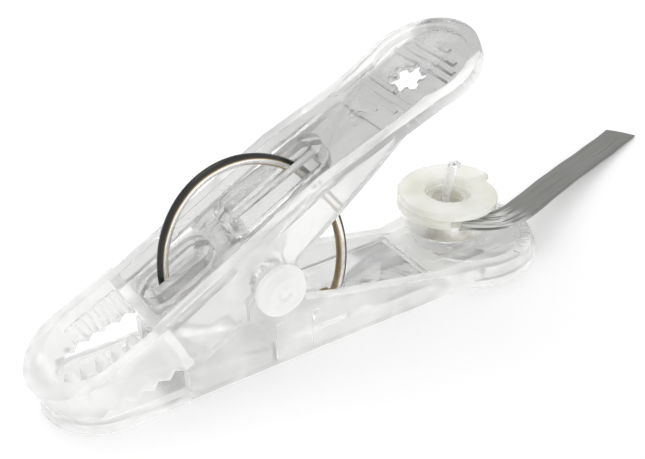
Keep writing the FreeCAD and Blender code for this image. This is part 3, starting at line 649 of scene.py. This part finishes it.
@dataclass
class Strap:
    """The flat strap that lies on the sleeve under the button and runs down to the table.

    It is cupped across its width by cup, waves along its length by wave, and its cut slants by slant over
    what is left beyond cut_from, a share of the length.
    """

    route: tuple[tuple[float, float, float], ...] = (
        (0.0368, -0.0018, 0.00753),
        (0.0403, -0.0047, 0.00753),
        (0.0449, -0.0044, 0.00695),
        (0.0511, -0.0012, 0.00550),
        (0.0581, 0.0023, 0.00415),
        (0.0651, 0.0055, 0.00295),
        (0.0721, 0.0085, 0.00175),
        (0.0789, 0.0112, 0.00090),
        (0.0856, 0.0138, 0.00040),
    )
    width: float = 5.0 * MM
    thickness: float = 0.35 * MM
    length: float = 0.0540
    strips: int = 10
    cup: float = 0.25 * MM
    wave: float = 0.05 * MM
    wave_turn: float = 34.0
    wave_skew: float = 3.0
    wave_start: float = 0.3
    slant: float = 1.4 * MM
    cut_from: float = 0.985

    def line(self) -> list[Vector]:
        """Points along the strap's own smooth curve.

        Returns:
            The points, from the button to the cut end.
        """
        curve = bpy.data.curves.new("strap route", "CURVE")
        curve.dimensions = "3D"
        curve.resolution_u = 24
        spline = curve.splines.new("NURBS")
        spline.points.add(len(self.route) - 1)
        for point, spot in zip(spline.points, self.route):
            point.co = (*spot, 1.0)
        spline.order_u = 3
        spline.use_endpoint_u = True
        holder = show("strap route", curve)
        graph = bpy.context.evaluated_depsgraph_get()
        drawn = bpy.data.meshes.new_from_object(holder.evaluated_get(graph))
        points = [vertex.co.copy() for vertex in drawn.vertices]
        bpy.data.objects.remove(holder)
        bpy.data.curves.remove(curve)
        bpy.data.meshes.remove(drawn)
        return points

    def build(self) -> bpy.types.Object:
        """Lay a thin band along the line.

        Returns:
            The strap.
        """
        points = self.line()
        runs = [0.0]
        for before, after in zip(points, points[1:]):
            runs.append(runs[-1] + (after - before).length)
        work = bmesh.new()
        layer = work.loops.layers.uv.new(STRAP_MAP)
        bmesh.ops.create_grid(work, x_segments=len(points) - 1, y_segments=self.strips, size=0.5)
        for face in work.faces:
            face.smooth = True
            for loop in face.loops:
                loop[layer].uv = (loop.vert.co.x + 0.5, loop.vert.co.y + 0.5)
        last = len(points) - 1
        for vertex in work.verts:
            number = round((vertex.co.x + 0.5) * last)
            share = vertex.co.y
            ahead = points[min(number + 1, last)] - points[max(number - 1, 0)]
            across = ahead.cross(UP).normalized()
            up = across.cross(ahead).normalized()
            place = runs[number] / runs[-1]
            cup = (0.25 - share * share) * self.cup
            swing = math.sin(self.wave_turn * place + self.wave_skew * share)
            wave = self.wave * swing * (self.wave_start + place)
            slant = self.slant * share * max(0.0, (place - self.cut_from) / (1 - self.cut_from))
            vertex.co = points[number] + across * self.width * share + up * (cup + wave)
            vertex.co += ahead.normalized() * slant
        mesh = bpy.data.meshes.new("grey strap")
        work.to_mesh(mesh)
        work.free()
        piece = show("grey_strap", mesh)
        wall = piece.modifiers.new("thickness", "SOLIDIFY")
        wall.thickness = self.thickness
        wall.offset = 0.0
        mesh.materials.append(Finish.STRAP.material())
        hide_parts("strap")
        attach(piece, "strap_wrap")
        LOG.info("strap is %.1f mm long", runs[-1] / MM)
        return piece


@dataclass
class Clip:
    """The two clear levers with their roller and spring."""

    mouldings: list[Moulding] = field(
        default_factory=lambda: [
            # Their rounded edges get the painted edge highlight.
            Moulding(node, body, "clear_plastic", name, Finish.CLEAR, Finish.CLEAR_EDGE)
            for node, body, name in (
                ("lower_lever", "lower_frame", "lower_moulding"),
                ("upper_lever", "upper_arm", "upper_moulding"),
            )
        ]
    )
    dressed: dict[str, Finish] = field(
        default_factory=lambda: {"pivot_roller": Finish.ROLLER, "ring_spring": Finish.WIRE}
    )

    def build(self) -> list[bpy.types.Object]:
        """Build the levers and dress the rest."""
        return [moulding.build() for moulding in self.mouldings] + dress(self.dressed)


@dataclass
class ButtonStack:
    """The button on the tail, with what holds the strap."""

    dressed: dict[str, Finish] = field(
        default_factory=lambda: {
            "strap_sleeve": Finish.SLEEVE,
            "button_hub": Finish.HUB,
            "button_post": Finish.POST,
        }
    )
    coil: Moulding = field(
        default_factory=lambda: Moulding(
            "strap_button",
            "strap_wrap",
            "button_plastic",
            "button_coil",
            Finish.BUTTON,
            Finish.BUTTON,
            corner=0.2 * MM,
            segments=3,
        )
    )

    def build(self) -> list[bpy.types.Object]:
        """Round the coil's edges and dress the rest."""
        return [self.coil.build()] + dress(self.dressed)


def dress(finishes: dict[str, Finish]) -> list[bpy.types.Object]:
    """Give nodes of the frame their finishes.

    Args:
        finishes: the finish of each node, by the node's name.

    Returns:
        The nodes' objects.
    """
    dressed = []
    for name, finish in finishes.items():
        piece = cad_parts[name]
        if not piece.material_slots:
            piece.data.materials.append(None)
        for holder in piece.material_slots:
            holder.material = finish.material()
        dressed.append(piece)
    return dressed


# ---------------------------------------------------------------- studio


def looking(tree: bpy.types.NodeTree) -> bpy.types.NodeSocket:
    """Add what tells the rays that look at a surface from those that light the object.

    Args:
        tree: the node tree to add it to.

    Returns:
        A socket that is 1 for rays from the camera, a mirror or a clear wall, and 0 for the rest.
    """
    path = tree.nodes.new("ShaderNodeLightPath")
    looks = path.outputs["Is Camera Ray"]
    for name in ("Is Glossy Ray", "Is Transmission Ray"):
        either = tree.nodes.new("ShaderNodeMath")
        either.operation = "MAXIMUM"
        tree.links.new(looks, either.inputs[0])
        tree.links.new(path.outputs[name], either.inputs[1])
        looks = either.outputs[0]
    return looks


@dataclass
class Studio:
    """A white table, soft light and the camera, whose angles are in degrees."""

    azimuth: float = -32.53
    elevation: float = 33.01
    roll: float = -0.88
    spot: tuple[float, float, float] = (-0.0754, -0.1378, 0.1199)
    lens: float = 75.46
    sky: float = 0.72
    lamp: float = 0.28
    lamp_size: float = 0.35
    lamp_spot: tuple[float, float, float] = (-0.05, 0.18, 0.42)
    table_glow: float = 0.26
    table_fill: float = 0.12
    table_size: float = 3.0
    table_drop: float = 0.02 * MM

    def camera(self) -> bpy.types.Object:
        """Place the camera and make it the scene's own.

        Returns:
            The camera.
        """
        turn, lift, roll = (math.radians(angle) for angle in (self.azimuth, self.elevation, self.roll))
        back = Vector((math.sin(turn) * math.cos(lift), -math.cos(turn) * math.cos(lift), math.sin(lift)))
        right = (-back).cross(UP).normalized()
        up = right.cross(-back)
        across = right * math.cos(roll) + up * math.sin(roll)
        upward = up * math.cos(roll) - right * math.sin(roll)
        data = bpy.data.cameras.new("camera")
        data.lens = self.lens
        data.sensor_width = 36.0
        data.clip_start = 0.005
        data.clip_end = 10.0
        camera = show("camera", data)
        turned = Matrix((across, upward, back)).transposed().to_4x4()
        camera.matrix_world = Matrix.Translation(self.spot) @ turned
        bpy.context.scene.camera = camera
        return camera

    def floor(self) -> bpy.types.Object:
        """Lay the white table top.

        Returns:
            The table top.
        """
        mesh = bpy.data.meshes.new("table top")
        work = bmesh.new()
        bmesh.ops.create_grid(work, x_segments=1, y_segments=1, size=self.table_size)
        bmesh.ops.translate(work, verts=work.verts, vec=(0, 0, -self.table_drop))
        work.to_mesh(mesh)
        work.free()
        floor = show("table_top", mesh)
        recipe = Recipe("white table")
        speckle = recipe.noise(900.0, 2.0)
        pale = recipe.blend(speckle, Tint(0.93, 0.93, 0.93), Tint(0.96, 0.96, 0.96))
        looks = looking(recipe.tree)
        glow = recipe.blend(looks, Tint(*(self.table_fill,) * 3), Tint(*(self.table_glow,) * 3))
        mesh.materials.append(
            recipe.surface(Base_Color=pale, Roughness=0.7, Emission_Color=glow, Emission_Strength=1.0)
        )
        return floor

    def light(self) -> None:
        """Set the plain sky and one large soft lamp."""
        world = bpy.data.worlds.new("sky")
        world.use_nodes = True
        sky = world.node_tree.nodes["Background"]
        sky.inputs["Color"].default_value = (1, 1, 1, 1)
        looks = looking(world.node_tree)
        seen = world.node_tree.nodes.new("ShaderNodeMapRange")
        seen.inputs["To Min"].default_value = self.sky
        seen.inputs["To Max"].default_value = 1.0
        world.node_tree.links.new(looks, seen.inputs["Value"])
        world.node_tree.links.new(seen.outputs[0], sky.inputs["Strength"])
        bpy.context.scene.world = world
        data = bpy.data.lights.new("soft box", "AREA")
        data.shape = "DISK"
        data.size = self.lamp_size
        data.energy = self.lamp
        lamp = show("soft box", data)
        spot = Vector(self.lamp_spot)
        lamp.location = spot
        lamp.rotation_mode = "QUATERNION"
        lamp.rotation_quaternion = (-spot).to_track_quat("-Z", "Y")

    def build(self) -> None:
        """Set everything that isn't the object."""
        self.camera()
        self.floor()
        self.light()
        bpy.context.scene.view_settings.view_transform = "Standard"


def main() -> None:
    """Build the studio, the strap, the clip and the button in turn."""
    logging.basicConfig(level=logging.INFO)
    Studio().build()
    LOG.info("made %s", Strap().build().name)
    for assembly in (Clip(), ButtonStack()):
        for piece in assembly.build():
            LOG.info("dressed %s", piece.name)


if __name__ == "__main__":
    main()
